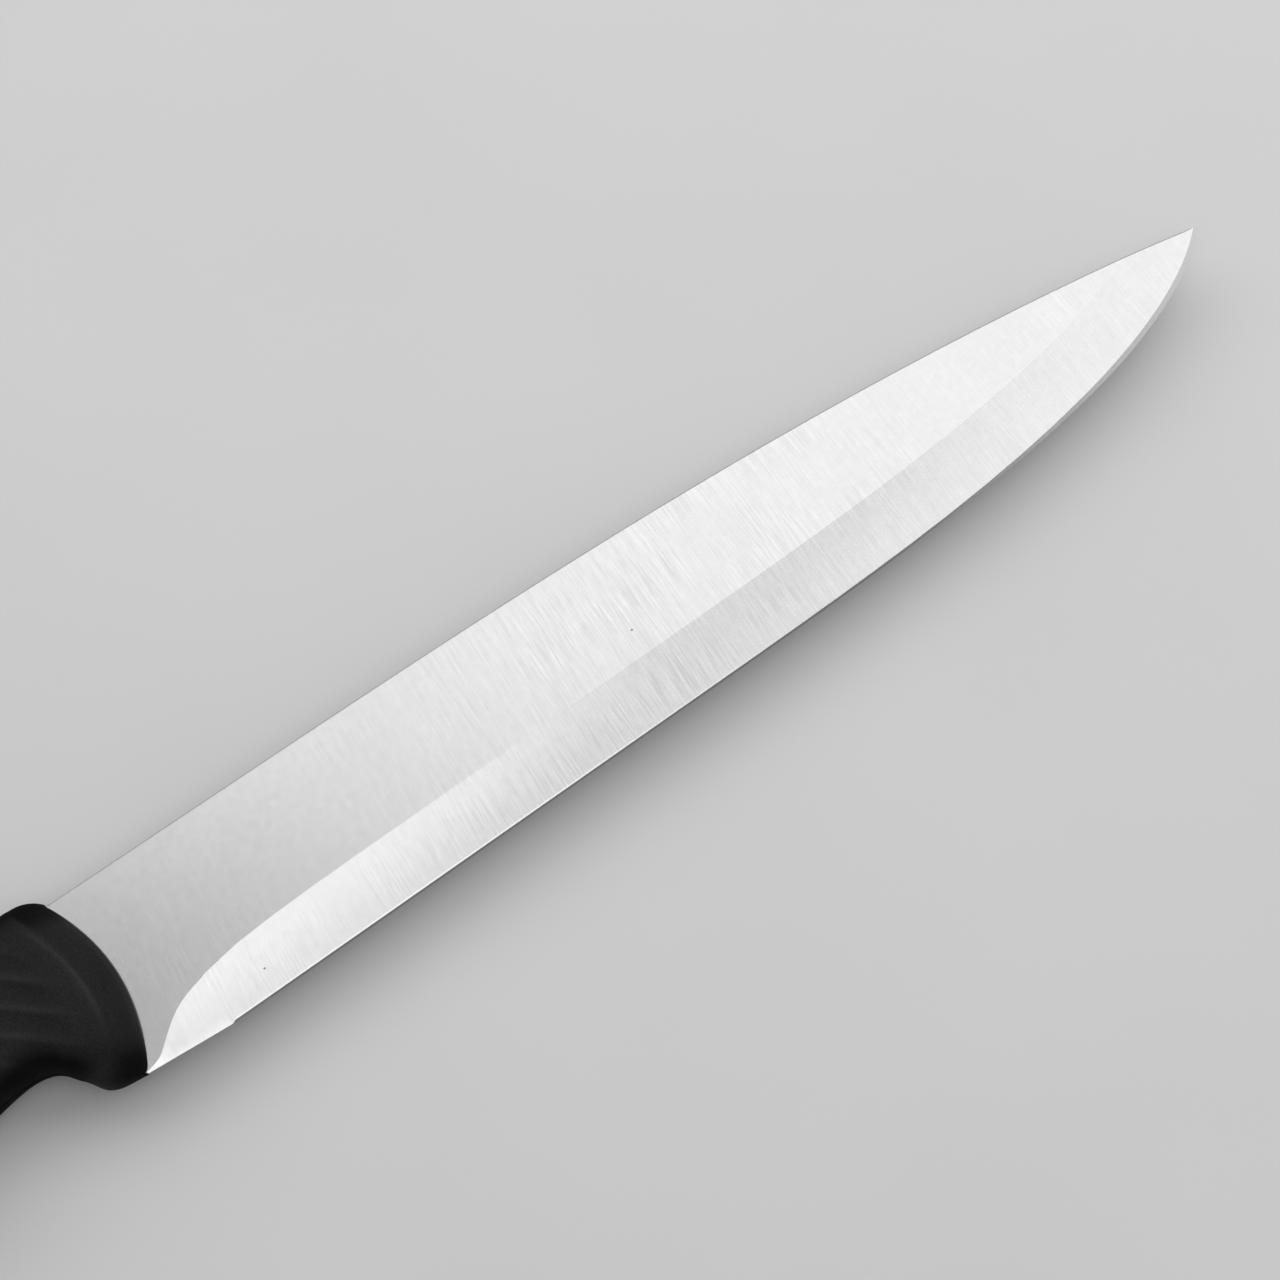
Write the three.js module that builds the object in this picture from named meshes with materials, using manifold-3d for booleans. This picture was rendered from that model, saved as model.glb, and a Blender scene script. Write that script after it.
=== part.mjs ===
// A kitchen knife lying on its side, in millimetres.
// It is drawn with x from the heel corner towards the tip, y from the edge towards the spine and
// z across the blade from its middle plane. The last section moves it over the origin.
import * as THREE from "three";
import { mergeVertices } from "three/addons/utils/BufferGeometryUtils.js";
import Module from "manifold-3d";

const wasm = await Module();
wasm.setup();

// Blade outline
const BLADE_LENGTH = 200; // heel corner to tip
const SPINE_HEIGHT = 28.65; // straight spine above the heel corner
const SPINE_STRAIGHT = 32.5; // length of the spine before it starts to fall
const SPINE_POWER = 2.77; // how late the spine falls
const TIP_HEIGHT = 17.45; // tip above the heel corner
const TIP_BLUNT = 0.35; // cut off the very tip
const HEEL_DROP = 0.9; // edge below the heel corner where the blunt heel ends
const EDGE_DROP = 0.8; // edge below the heel corner where the sharpened edge starts
const EDGE_SLOPE = 0.0145; // rise of the straight edge for each millimetre
const BELLY_START = 100; // where the straight edge ends
const BELLY_EASE = 38.7; // length over which the belly keeps to the straight edge
const POINT_EASE = 15.4; // length over which it keeps to the slope at the point
const POINT_SLOPE = 1.025; // rise of the edge at the point

// Blade grinds
const SHEET = 2; // thickness of the steel
const BEVEL_HEIGHT = 9.8; // ground band above the edge
const BEVEL_START = 1.5; // where the grind begins, in front of the heel corner
const BEVEL_RUN = 6.9; // how slowly its upper line climbs from there
const EDGE_THICK = 0.35; // steel left by the bevel behind the edge
const SHARP_START = 14; // where the sharpened edge begins
const SHARP_HEIGHT = 0.3; // sharpened band above the edge
const SHARP_TIP_HEIGHT = 0.9; // the same band at the tip, where it is wider
const SHARP_THICK = 0.1; // width of the edge itself
const SPINE_BREAK = 0.2; // corners taken off along the spine
const STEP = 0.2; // length of the small step at the start of the sharpened edge
const SHARP_SHARE = 0.5; // most of the blade's height that the sharpened band takes near the tip
const BREAK_SHARE = 0.2; // the same for the corners along the spine

// Tang, the part of the blade inside the handle
const SHOULDER_BACK = 3; // rear of the blade's full height, behind the heel corner
const SHOULDER_CUT = 4; // corners taken off there
const TANG_START = 5; // front of the tang, behind the heel corner
const TANG_END = 92; // rear of the tang, behind the heel corner
const TANG_FRONT_HEIGHT = 12.5;
const TANG_REAR_HEIGHT = 8;
const TANG_FRONT_MIDDLE = 19.2; // height of its middle line at the front
const TANG_REAR_MIDDLE = 17.2; // and at the rear
const TANG_CORNER = 2; // corners taken off its end

// Handle outline, with distances measured back from the heel corner
const HANDLE_BACK = 121; // butt
const TOP_HEIGHT = 30.75; // top of the handle at the front
const TOP_FALL = 4.5; // how far the top falls towards the butt
const TOP_POWER = 1.6; // how late it falls
const CORNER_RUN = 3.2; // length of the rounding at the top front corner
const CORNER_DROP = 1.7; // height of that rounding
const GUARD_BACK = 6.5; // rear corner of the guard
const GUARD_HEIGHT = 1.5;
const GUARD_FLANK = 9.3; // half way up from there to the groove
const GROOVE_BACK = 12.3; // deepest point of the finger groove
const GROOVE_HEIGHT = 8.1;
const PALM_BACK = 44; // lowest point of the palm swell
const PALM_HEIGHT = 4.4;
const WAIST_BACK = 82; // highest point of the waist
const WAIST_HEIGHT = 6.3;
const HOOK_BACK = 112; // lowest point of the butt
const HOOK_HEIGHT = 2.4;
const BUTT_ROUND = 9; // length of the rounded butt
const BUTT_POWER = 2.4; // how square the butt is
const BUTT_FLAT = 0.005; // share of that length left off as a flat end

// Handle thickness, each value from the middle plane to the side
const LIP_HALF = 2; // at the front edge over the blade
const RIM_LENGTH = 4.2; // sloping rim from that edge to the crease
const RIM_HALF = 7; // at the crease
const NECK_HALF = 7.6; // beside the finger groove
const PALM_HALF = 9.4; // at the palm swell
const WAIST_HALF = 8.2; // at the waist
const HOOK_HALF = 9.2; // at the butt
const TOP_ROUND = 4.2; // how square the upper half of the section is
const GROOVE_ROUND = 3.1; // how square the lower half is at the finger groove
const PALM_ROUND = 4.4; // and behind it
const PALM_START = 24; // where the squarer section begins

// Front edge of the handle, bowed out over the blade
const LIP_BULGE = 3.85; // bow of the front edge
const LIP_LEAN = 0.9; // how far its top stands in front of its foot
const BOW_END = 14; // where the bow has faded out, behind the heel corner

// Shallow flutes pressed side by side into the handle's sides, with a ridge between each two
const FLUTE_PITCH = 4.1; // from ridge to ridge
const FLUTE_DEPTH = 0.38; // from the ridges
const FLUTE_SINK = 0.52; // from the plain side
const FLUTE_LIFT = 0.2; // clearance of a flute's cutter over the plain border
const FLUTE_TILT = 41; // degrees from the handle's length, running forward and down to the edge
const FLUTE_FIRST = 12.2; // distance of the first flute's line from the heel corner
const FLUTE_COUNT = 18;
const FLUTE_RIM = 1; // plain border behind the crease and at the rear end
const FLUTE_FADE = 5; // length over which a flute runs out at that border
const FLUTE_END = 100; // rear end of the fluted grip, behind the heel corner

// Pins and fits
const PIN_BACKS = [22, 52, 82]; // places of the pins behind the heel corner
const PIN_DIAMETER = 4;
const PIN_LENGTH = 11;
const PIN_CHAMFER = 0.4;
const PIN_GAP = 0.2; // free space round a pin
const SEAT_GAP = 0.2; // free space between the steel and its seat in the handle
const PARTING_GAP = 0.1; // between the two halves

// Fineness of the curved surfaces
const CLOSE_SECTIONS = 1.3; // distance between sections where the shape turns quickly
const BLADE_SECTIONS = 7; // elsewhere on the blade
const HANDLE_SECTIONS = 3.5; // elsewhere on the handle
const POINT_SHARE = 0.85; // share of the blade after which its sections stand close together
const SIDE_STEPS = 18;
const BUTT_STEPS = 8;
const PIN_SIDES = 24;
const FLUTE_SIDES = 18; // in half a turn of the round cutter
const FLUTE_SECTIONS = 2; // height between points along a flute
const HALVINGS = 40; // rounds of halving that find a place on a curve
const WELD = 1e-4; // points closer than this are one

const steel = new THREE.MeshStandardMaterial({ color: 0xc4c6c8, metalness: 1, roughness: 0.35 });
const blackPlastic = new THREE.MeshStandardMaterial({ color: 0x232426, roughness: 0.6 });
const pinSteel = new THREE.MeshStandardMaterial({ color: 0xa9abad, metalness: 1, roughness: 0.4 });

// Small helpers

// Even places from one value up to another, which is left out, no further apart than the gap.
function spread(from, to, gap) {
  const count = Math.ceil((to - from) / gap);
  return Array.from({ length: count }, (_, i) => from + ((to - from) * i) / count);
}

// The last value between two for which the question is answered with yes.
function lastWhere(from, to, question) {
  let low = from;
  let high = to;
  for (let i = 0; i < HALVINGS; i += 1) {
    const middle = (low + high) / 2;
    if (question(middle)) low = middle;
    else high = middle;
  }
  return low;
}

function heightOn(curve, x) {
  return curve.getPoint(lastWhere(0, 1, (share) => curve.getPoint(share).x < x)).y;
}

function splineThrough(pairs) {
  const points = pairs.map(([x, y]) => new THREE.Vector3(x, y, 0));
  return new THREE.CatmullRomCurve3(points, false, "centripetal");
}

function surface(points, index) {
  const geometry = new THREE.BufferGeometry().setFromPoints(points);
  return geometry.setIndex(index);
}

function solidOf(geometry) {
  const bare = geometry.clone().deleteAttribute("normal").deleteAttribute("uv");
  const merged = mergeVertices(bare, WELD);
  const vertProperties = new Float32Array(merged.attributes.position.array);
  const triVerts = new Uint32Array(merged.index.array);
  return new wasm.Manifold(new wasm.Mesh({ numProp: 3, vertProperties, triVerts }));
}

function geometryOf(solid) {
  const mesh = solid.getMesh();
  const geometry = new THREE.BufferGeometry();
  geometry.setAttribute("position", new THREE.BufferAttribute(mesh.vertProperties, 3));
  return geometry.setIndex(new THREE.BufferAttribute(mesh.triVerts, 1));
}

function cutAway(geometry, cutters) {
  return geometryOf(cutters.reduce((left, cutter) => left.subtract(solidOf(cutter)), solidOf(geometry)));
}

function mirrored(geometry) {
  const copy = geometry.clone().scale(1, 1, -1);
  const index = copy.index.array;
  for (let i = 0; i < index.length; i += 3) {
    [index[i], index[i + 1]] = [index[i + 1], index[i]];
  }
  return copy;
}

function loft(rings) {
  const count = rings[0].length;
  const last = (rings.length - 1) * count;
  const index = [];
  for (let r = 0; r < rings.length - 1; r += 1) {
    for (let i = 0; i < count; i += 1) {
      const a = r * count + i;
      const b = r * count + ((i + 1) % count);
      index.push(a, a + count, b, b, a + count, b + count);
    }
  }
  for (let i = 1; i < count - 1; i += 1) {
    index.push(0, i, i + 1, last, last + i + 1, last + i);
  }
  return surface(rings.flat(), index);
}

// Blade

function spineHeight(x) {
  const fall = Math.max(0, (x - SPINE_STRAIGHT) / (BLADE_LENGTH - SPINE_STRAIGHT));
  return SPINE_HEIGHT - (SPINE_HEIGHT - TIP_HEIGHT) * fall ** SPINE_POWER;
}

function straightEdge(x) {
  return EDGE_SLOPE * (x - SHARP_START) - EDGE_DROP;
}

const belly = new THREE.CubicBezierCurve(
  new THREE.Vector2(BELLY_START, straightEdge(BELLY_START)),
  new THREE.Vector2(BELLY_START + BELLY_EASE, straightEdge(BELLY_START + BELLY_EASE)),
  new THREE.Vector2(BLADE_LENGTH - POINT_EASE, TIP_HEIGHT - POINT_EASE * POINT_SLOPE),
  new THREE.Vector2(BLADE_LENGTH, TIP_HEIGHT),
);

function edgeHeight(x) {
  if (x <= SHARP_START) return (-HEEL_DROP * x) / SHARP_START;
  if (x <= BELLY_START) return straightEdge(x);
  return heightOn(belly, x);
}

function bevelHeight(x) {
  return BEVEL_HEIGHT * (1 - Math.exp(-Math.max(0, x - BEVEL_START) / BEVEL_RUN));
}

function sharpHeight(x) {
  const nearTip = THREE.MathUtils.smoothstep(x, BELLY_START, BLADE_LENGTH);
  return SHARP_HEIGHT + (SHARP_TIP_HEIGHT - SHARP_HEIGHT) * nearTip ** 2;
}

// A closed ring of the blade at x, up its one side and down the other.
function bladeRing(x, sides) {
  const right = sides.map(([y, z]) => new THREE.Vector3(x, y, z));
  const left = sides.map(([y, z]) => new THREE.Vector3(x, y, -z)).reverse();
  return [...right, ...left];
}

// A ground section: the edge, its sharpened band, the bevel, the flat and the spine.
function groundRing(x) {
  const edge = edgeHeight(x);
  const spine = spineHeight(x);
  const bevelTop = edge + bevelHeight(x);
  const slope = (SHEET - EDGE_THICK) / 2 / BEVEL_HEIGHT;
  const half = (y) => SHEET / 2 - slope * Math.max(0, bevelTop - y);
  const shoulder = edge + Math.min(sharpHeight(x), SHARP_SHARE * (spine - edge));
  const corner = Math.min(SPINE_BREAK, BREAK_SHARE * (spine - edge), half(spine) / 2);
  const room = corner / 2;
  const grind = Math.max(shoulder + room, Math.min(bevelTop, spine - corner - room));
  return bladeRing(x, [
    [edge, x > SHARP_START ? SHARP_THICK / 2 : half(edge)],
    [shoulder, half(shoulder)],
    [grind, half(grind)],
    [spine - corner, half(spine - corner)],
    [spine, half(spine) - corner],
  ]);
}

// A section of plain sheet between two heights, inside the handle.
function plainRing(x, low, high) {
  return bladeRing(x, [
    [low, SHEET / 2],
    [low + SHARP_HEIGHT, SHEET / 2],
    [(low + high) / 2, SHEET / 2],
    [high - SPINE_BREAK, SHEET / 2],
    [high, SHEET / 2 - SPINE_BREAK],
  ]);
}

function alongTang(back, front, rear) {
  return front + ((rear - front) * (back - TANG_START)) / (TANG_END - TANG_START);
}

function tangMiddle(back) {
  return alongTang(back, TANG_FRONT_MIDDLE, TANG_REAR_MIDDLE);
}

function tangHalf(back) {
  return alongTang(back, TANG_FRONT_HEIGHT, TANG_REAR_HEIGHT) / 2;
}

function tangRing(back, cut) {
  const half = tangHalf(back) - cut;
  return plainRing(-back, tangMiddle(back) - half, tangMiddle(back) + half);
}

function bladeStations() {
  const pointStart = POINT_SHARE * BLADE_LENGTH;
  return [
    ...spread(BEVEL_START, SHARP_START, CLOSE_SECTIONS),
    SHARP_START,
    ...spread(SHARP_START + STEP, SPINE_STRAIGHT, BLADE_SECTIONS),
    ...spread(SPINE_STRAIGHT, BELLY_START, BLADE_SECTIONS),
    ...spread(BELLY_START, pointStart, BLADE_SECTIONS),
    ...spread(pointStart, BLADE_LENGTH - TIP_BLUNT, CLOSE_SECTIONS),
    BLADE_LENGTH - TIP_BLUNT,
  ];
}

function bladeGeometry() {
  const rings = [
    tangRing(TANG_END, TANG_CORNER),
    tangRing(TANG_END - TANG_CORNER, 0),
    tangRing(TANG_START, 0),
    plainRing(-SHOULDER_BACK, SHOULDER_CUT, SPINE_HEIGHT - SHOULDER_CUT),
    plainRing(0, 0, SPINE_HEIGHT),
    ...bladeStations().map(groundRing),
  ];
  return cutAway(loft(rings), PIN_BACKS.map(pinBore));
}

// Handle

function topHeight(back) {
  const corner = Math.max(0, 1 - back / CORNER_RUN);
  return TOP_HEIGHT - TOP_FALL * (back / HANDLE_BACK) ** TOP_POWER - CORNER_DROP * corner ** 2;
}

const underside = splineThrough([
  [0, 0],
  [GUARD_BACK, GUARD_HEIGHT],
  [GUARD_FLANK, (GUARD_HEIGHT + GROOVE_HEIGHT) / 2],
  [GROOVE_BACK, GROOVE_HEIGHT],
  [PALM_BACK, PALM_HEIGHT],
  [WAIST_BACK, WAIST_HEIGHT],
  [HOOK_BACK, HOOK_HEIGHT],
  [HANDLE_BACK, HOOK_HEIGHT],
]);

const side = splineThrough([
  [RIM_LENGTH, RIM_HALF],
  [GROOVE_BACK, NECK_HALF],
  [PALM_BACK, PALM_HALF],
  [WAIST_BACK, WAIST_HALF],
  [HOOK_BACK, HOOK_HALF],
  [HANDLE_BACK, HOOK_HALF],
]);

function sideHalf(back) {
  if (back < RIM_LENGTH) return LIP_HALF + ((RIM_HALF - LIP_HALF) * back) / RIM_LENGTH;
  return heightOn(side, back);
}

// How far the handle's surface stands in front of its station, so that its front edge is an arc.
// The arc leans over the rim alone and is bowed as far as the grip.
function bow(back, y) {
  const half = SPINE_HEIGHT / 2;
  const bulge = LIP_BULGE * Math.max(0, 1 - ((y - half) / half) ** 2);
  const lean = (LIP_LEAN * y) / SPINE_HEIGHT;
  const { smoothstep } = THREE.MathUtils;
  return bulge * (1 - smoothstep(back, RIM_LENGTH, BOW_END)) + lean * (1 - smoothstep(back, 0, RIM_LENGTH));
}

// How much of the full section is left in the rounded butt.
function buttShare(back) {
  const into = Math.max(0, back - (HANDLE_BACK - BUTT_ROUND)) / BUTT_ROUND;
  return (1 - into ** BUTT_POWER) ** (1 / BUTT_POWER);
}

function lowRound(back) {
  const squarer = THREE.MathUtils.smoothstep(back, GROOVE_BACK, PALM_START);
  return GROOVE_ROUND + (PALM_ROUND - GROOVE_ROUND) * squarer;
}

function sidePoint(back, turn) {
  const share = buttShare(back);
  const low = heightOn(underside, back);
  const high = topHeight(back);
  const power = 2 / (turn < 0 ? lowRound(back) : TOP_ROUND);
  const rise = Math.sign(turn) * Math.abs(Math.sin(turn)) ** power;
  const y = (low + high + share * rise * (high - low)) / 2;
  const z = share * sideHalf(back) * Math.max(0, Math.cos(turn)) ** power;
  return new THREE.Vector3(bow(back, y) - back, y, z + PARTING_GAP / 2);
}

// The station whose section passes through x at height y.
function backAt(x, y) {
  return lastWhere(0, HANDLE_BACK, (back) => bow(back, y) - back > x);
}

// How deep the flutes are at a station, as a share of their full depth.
function fluteShare(back) {
  const border = Math.min(back - RIM_LENGTH, FLUTE_END - back);
  return THREE.MathUtils.smoothstep(border, FLUTE_RIM, FLUTE_RIM + FLUTE_FADE);
}

// A round bar that lies level along one flute, so that the flute runs out at the rounded top and
// underside, and that lifts clear of the side at the ends of the grip and passes over the rim.
function fluteCutter(number) {
  const tilt = THREE.MathUtils.degToRad(FLUTE_TILT);
  const radius = FLUTE_PITCH ** 2 / 8 / FLUTE_DEPTH + FLUTE_DEPTH / 2;
  const line = FLUTE_FIRST - number * FLUTE_PITCH;
  const points = spread(GUARD_HEIGHT, TOP_HEIGHT, FLUTE_SECTIONS).map((y) => {
    const x = (line - y * Math.cos(tilt)) / Math.sin(tilt);
    const back = Math.max(RIM_LENGTH, backAt(x, y));
    const sunk = (FLUTE_LIFT + FLUTE_SINK) * fluteShare(back);
    return new THREE.Vector3(x, y, sideHalf(back) + radius + FLUTE_LIFT - sunk);
  });
  const shape = new THREE.Shape().absarc(0, 0, radius, 0, 2 * Math.PI);
  const extrudePath = new THREE.CatmullRomCurve3(points);
  const steps = points.length;
  const options = { steps, curveSegments: FLUTE_SIDES, bevelEnabled: false, extrudePath };
  return new THREE.ExtrudeGeometry(shape, options);
}

function handleStations() {
  const buttStart = HANDLE_BACK - BUTT_ROUND;
  const lastTurn = Math.asin(1 - BUTT_FLAT);
  const buttTurns = Array.from({ length: BUTT_STEPS + 1 }, (_, i) => (lastTurn * i) / BUTT_STEPS);
  return [
    ...spread(0, RIM_LENGTH, CLOSE_SECTIONS),
    ...spread(RIM_LENGTH, GROOVE_BACK, CLOSE_SECTIONS),
    ...spread(GROOVE_BACK, buttStart, HANDLE_SECTIONS),
    ...buttTurns.map((turn) => buttStart + BUTT_ROUND * Math.sin(turn)),
  ];
}

// The flat parting face of a half, as triangles of the points on its rim.
function partingFace(points, rim) {
  const outline = rim.map((i) => new THREE.Vector2(points[i].x, points[i].y));
  const faces = THREE.ShapeUtils.triangulateShape(outline, []);
  return faces.flatMap(([a, b, c]) => [rim[c], rim[b], rim[a]]);
}

// One half before its seat is cut: the curved side, the front edge, the butt and the parting face.
function halfGeometry() {
  const stations = handleStations();
  const turns = Array.from({ length: SIDE_STEPS + 1 }, (_, i) => Math.PI * (i / SIDE_STEPS - 0.5));
  const width = turns.length;
  const points = stations.flatMap((back) => turns.map((turn) => sidePoint(back, turn)));
  const feetStart = points.length;
  const at = (row, i) => row * width + i;
  const end = stations.length - 1;
  const inner = turns.slice(1, -1).map((_, i) => i + 1);
  inner.forEach((i) => points.push(points[at(0, i)].clone().setZ(PARTING_GAP / 2)));
  const feet = [at(0, 0), ...inner.map((i) => feetStart + i - 1), at(0, SIDE_STEPS)];
  const index = [];
  for (let row = 0; row < end; row += 1) {
    for (let i = 0; i < SIDE_STEPS; i += 1) {
      index.push(at(row, i), at(row, i + 1), at(row + 1, i + 1));
      index.push(at(row, i), at(row + 1, i + 1), at(row + 1, i));
    }
  }
  for (let i = 0; i < SIDE_STEPS; i += 1) {
    if (i > 0) index.push(feet[i], at(0, i + 1), at(0, i));
    if (i < SIDE_STEPS - 1) index.push(feet[i], feet[i + 1], at(0, i + 1));
    if (i > 0) index.push(at(end, 0), at(end, i), at(end, i + 1));
  }
  const lowRim = stations.map((_, row) => at(row, 0));
  const topRim = stations.map((_, row) => at(row, SIDE_STEPS));
  const rim = [...feet, ...topRim.slice(1), ...lowRim.slice(1).reverse()];
  return surface(points, [...index, ...partingFace(points, rim)]);
}

// The space for the blade's rear and the tang, cut into both halves.
function seatCutter() {
  const front = LIP_BULGE + LIP_LEAN + RIM_LENGTH;
  const wide = (back) => tangHalf(back) + SEAT_GAP;
  const outline = [
    [front, spineHeight(0) + SEAT_GAP],
    [0, spineHeight(0) + SEAT_GAP],
    [-SHOULDER_BACK - SEAT_GAP, SPINE_HEIGHT - SHOULDER_CUT + SEAT_GAP],
    [-TANG_START - SEAT_GAP, tangMiddle(TANG_START) + wide(TANG_START)],
    [-TANG_END - SEAT_GAP, tangMiddle(TANG_END) + wide(TANG_END)],
    [-TANG_END - SEAT_GAP, tangMiddle(TANG_END) - wide(TANG_END)],
    [-TANG_START - SEAT_GAP, tangMiddle(TANG_START) - wide(TANG_START)],
    [-SHOULDER_BACK - SEAT_GAP, SHOULDER_CUT - SEAT_GAP],
    [0, -SEAT_GAP],
    [front, -HEEL_DROP - SEAT_GAP],
  ];
  const shape = new THREE.Shape(outline.map(([x, y]) => new THREE.Vector2(x, y)));
  const depth = SHEET + 2 * SEAT_GAP;
  return new THREE.ExtrudeGeometry(shape, { depth, bevelEnabled: false }).translate(0, 0, -depth / 2);
}

// Pins

function pinBore(back) {
  const radius = PIN_DIAMETER / 2 + PIN_GAP;
  const bore = new THREE.CylinderGeometry(radius, radius, PIN_LENGTH + 2 * PIN_GAP, PIN_SIDES);
  return bore.rotateX(Math.PI / 2).translate(-back, tangMiddle(back), 0);
}

function pinGeometry(back) {
  const radius = PIN_DIAMETER / 2;
  const half = PIN_LENGTH / 2;
  const profile = [
    [0, -half],
    [radius - PIN_CHAMFER, -half],
    [radius, PIN_CHAMFER - half],
    [radius, half - PIN_CHAMFER],
    [radius - PIN_CHAMFER, half],
    [0, half],
  ].map(([r, y]) => new THREE.Vector2(r, y));
  const pin = new THREE.LatheGeometry(profile, PIN_SIDES);
  return pin.rotateX(Math.PI / 2).translate(-back, tangMiddle(back), 0);
}

// Assembly

const knife = new THREE.Group();

function addPiece(name, geometry, material) {
  const mesh = new THREE.Mesh(geometry, material.clone());
  mesh.name = name;
  knife.add(mesh);
}

const flutes = Array.from({ length: FLUTE_COUNT }, (_, i) => fluteCutter(i));
const rightHalf = cutAway(halfGeometry(), [seatCutter(), ...PIN_BACKS.map(pinBore), ...flutes]);
addPiece("blade", bladeGeometry(), steel);
addPiece("handle_right", rightHalf, blackPlastic);
addPiece("handle_left", mirrored(rightHalf), blackPlastic);
const pinNames = ["tang_pin_front", "tang_pin_middle", "tang_pin_rear"];
pinNames.forEach((name, i) => addPiece(name, pinGeometry(PIN_BACKS[i]), pinSteel));

// The origin lies under the middle of the whole knife, at its lowest point.
const box = new THREE.Box3().setFromObject(knife);
const middle = box.getCenter(new THREE.Vector3());
knife.children.forEach((mesh) => mesh.geometry.translate(-middle.x, -middle.y, -box.min.z));

export default knife;
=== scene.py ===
import math

import bmesh
import bpy
import numpy as np
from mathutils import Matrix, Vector


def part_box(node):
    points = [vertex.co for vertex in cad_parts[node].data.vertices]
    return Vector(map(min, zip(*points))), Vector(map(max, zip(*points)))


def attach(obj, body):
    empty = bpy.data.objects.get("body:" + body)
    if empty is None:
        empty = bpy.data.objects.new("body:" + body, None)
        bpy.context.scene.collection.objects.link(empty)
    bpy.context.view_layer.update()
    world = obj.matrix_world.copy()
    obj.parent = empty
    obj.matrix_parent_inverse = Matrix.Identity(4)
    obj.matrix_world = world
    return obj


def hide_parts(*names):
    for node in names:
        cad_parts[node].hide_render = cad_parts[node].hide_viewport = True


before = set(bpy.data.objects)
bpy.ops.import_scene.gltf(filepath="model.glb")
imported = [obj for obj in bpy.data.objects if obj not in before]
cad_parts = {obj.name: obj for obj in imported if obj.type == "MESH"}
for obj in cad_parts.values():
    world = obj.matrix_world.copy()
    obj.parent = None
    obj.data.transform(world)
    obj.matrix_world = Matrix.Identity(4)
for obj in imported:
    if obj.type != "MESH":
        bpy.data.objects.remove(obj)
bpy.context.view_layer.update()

MM = 0.001

# Handle outline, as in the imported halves, in millimetres back from the heel corner and up from it
HANDLE_BACK = 121
TOP_HEIGHT = 30.75
TOP_FALL = 4.5
TOP_POWER = 1.6
CORNER_RUN = 3.2
CORNER_DROP = 1.7
GUARD_BACK = 6.5
GUARD_HEIGHT = 1.5
GUARD_FLANK = 9.3
GROOVE_BACK = 12.3
GROOVE_HEIGHT = 8.1
PALM_BACK = 44
PALM_HEIGHT = 4.4
WAIST_BACK = 82
WAIST_HEIGHT = 6.3
HOOK_BACK = 112
HOOK_HEIGHT = 2.4
UNDERSIDE = [
    (0, 0),
    (GUARD_BACK, GUARD_HEIGHT),
    (GUARD_FLANK, (GUARD_HEIGHT + GROOVE_HEIGHT) / 2),
    (GROOVE_BACK, GROOVE_HEIGHT),
    (PALM_BACK, PALM_HEIGHT),
    (WAIST_BACK, WAIST_HEIGHT),
    (HOOK_BACK, HOOK_HEIGHT),
    (HANDLE_BACK, HOOK_HEIGHT),
]
BUTT_ROUND = 9
BUTT_POWER = 2.4
BUTT_FLAT = 0.005  # share of the rounded butt left off as a flat end

# Handle thickness, in millimetres from the middle plane
LIP_FOOT = 0.6
LIP_HALF = 2
LIP_ROUND = 0.7
RIM_LENGTH = 4.2
RIM_HALF = 7
RIM_BULGE = 0.35
CREASE_ROUND = 0.7
NECK_HALF = 7.6
PALM_HALF = 9.4
WAIST_HALF = 8.2
HOOK_HALF = 9.2
SIDE = [
    (RIM_LENGTH, RIM_HALF),
    (GROOVE_BACK, NECK_HALF),
    (PALM_BACK, PALM_HALF),
    (WAIST_BACK, WAIST_HALF),
    (HOOK_BACK, HOOK_HALF),
    (HANDLE_BACK, HOOK_HALF),
]

# How square a section of the handle is, above and below, and where it grows squarer below
TOP_ROUND = 4.2
GROOVE_ROUND = 3.1
PALM_ROUND = 4.4
PALM_START = 24

# Front edge of the handle, bowed out over the blade, in millimetres
LIP_BULGE = 3.85
LIP_LEAN = 0.9
BOW_END = 14

# Flutes of the grip, in millimetres and degrees
FLUTE_PITCH = 4.1
FLUTE_DEPTH = 0.38
FLUTE_SINK = 0.52
FLUTE_LIFT = 0.2
FLUTE_TILT = math.radians(41)
FLUTE_FIRST = 12.2
FLUTE_COUNT = 18
FLUTE_RIM = 1
FLUTE_FADE = 5
FLUTE_END = 100
FLUTE_BLEND = 0.15

# Parting line of the two halves, with a low moulded bead, in millimetres
PARTING_GAP = 0.02
BEAD_HEIGHT = 0.14
BEAD_WIDTH = 0.35

# Places of the handle's finish and of its painted light and shade, in millimetres, where a pair is the
# start and the end of a change
GRAIN_BORDER = (4.9, 6.3)  # from the smooth rim to the grained sides
LIP_POLISH = 0.9  # polished width along the front edge
CREASE_LIGHT_BACK = 4.4  # painted highlight along the crease
CREASE_LIGHT_WIDTH = 0.5
CREASE_LIGHT_LOW = (6.5, 14)  # heights between which it begins
CREASE_LIGHT_HIGH = (24, 27.5)  # heights between which it ends
FLUTE_HIGHLIGHT_PLACE = 0.5  # painted highlight on the flank beside the ridge between two flutes
FLUTE_HIGHLIGHT_WIDTH = 0.5
GUARD_LIGHT_BACK = 6.4  # painted highlight on the corner of the guard, where the painted shade of the rounding is left off
GUARD_LIGHT_HEIGHT = 3
GUARD_LIGHT_WIDTH = 2.1
ROUND_SHADE_SHARE = (0.72, 0.98)  # shares of the thickness between which painted shade comes in on a rounding
RIM_TOP_SHADE = (23.5, 28)  # heights between which painted shade comes in on the rim's top
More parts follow.
